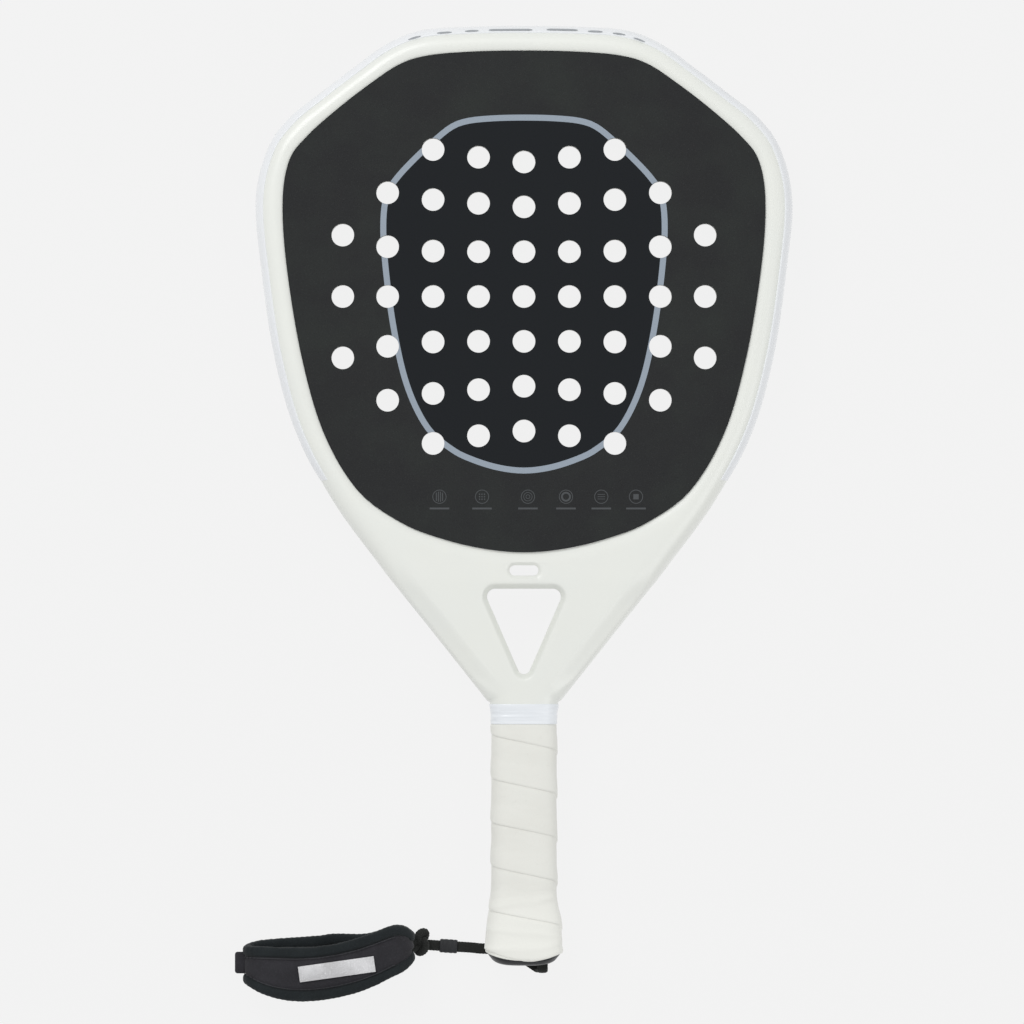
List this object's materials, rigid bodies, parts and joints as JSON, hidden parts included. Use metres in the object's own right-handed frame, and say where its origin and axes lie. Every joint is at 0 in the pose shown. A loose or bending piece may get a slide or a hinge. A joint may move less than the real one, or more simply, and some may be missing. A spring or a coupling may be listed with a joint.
{
  "type": "padel racket",
  "caption": "Perforated padel racket with a hollow white frame, dark grit faces, wrapped grip and a padded wrist strap on a flat cord.",
  "frame": {"origin": "centre of the racket's footprint, on the surface it lies on, measured without the wrist strap", "axes": "+Y from the butt to the top of the head, +Z out of the front face, +X to the right as seen from the front"},
  "size_m": [0.2707, 0.4721, 0.038],
  "materials": {
    "frame_paint": "satin white paint on a carbon composite tube",
    "face_grit": "matt dark skin with fine sand grit",
    "foam": "closed-cell foam",
    "protector_film": "clear plastic strip",
    "handle_foam": "moulded foam",
    "cap_plastic": "moulded black plastic",
    "grip_under": "cushioned base grip",
    "grip_wrap": "matt white overgrip",
    "tape": "thin tape",
    "cord_braid": "flat braided cord",
    "band_fabric": "knitted padded fabric",
    "band_foam": "soft foam",
    "band_edge": "woven binding",
    "label_weave": "woven label",
    "keeper_rubber": "moulded ribbed rubber"
  },
  "bodies": {
    "racket": {"frame_tube": "frame_paint", "throat_bridge": "frame_paint", "foam_core": "foam", "face_front": "face_grit", "face_back": "face_grit", "edge_protector": "protector_film", "handle_core": "handle_foam", "butt_cap": "cap_plastic", "base_grip": "grip_under", "overgrip": "grip_wrap", "finishing_tape": "tape", "cord_stop_knot": "cord_braid", "cord_butt_run": "cord_braid"},
    "strap": {"wrist_cord": "cord_braid", "cord_knot": "cord_braid", "cord_band_link": "cord_braid", "band_cover": "band_fabric", "band_padding": "band_foam", "band_lining": "band_fabric", "band_binding_upper": "band_edge", "band_binding_lower": "band_edge", "band_tab": "band_edge", "band_label": "label_weave"},
    "keeper": {"cord_keeper": "keeper_rubber"}
  },
  "joints": [
    {"name": "strap_swing", "type": "hinge", "parent": "racket", "child": "strap", "pos_m": [-0.0214, -0.2194, 0.0027], "axis": [0, 0, 1], "range_deg": [-40, 60]},
    {"name": "keeper_slide", "type": "slide", "parent": "strap", "child": "keeper", "axis": [0.998, -0.0628, 0], "range_m": [-0.003, 0.006]}
  ]
}
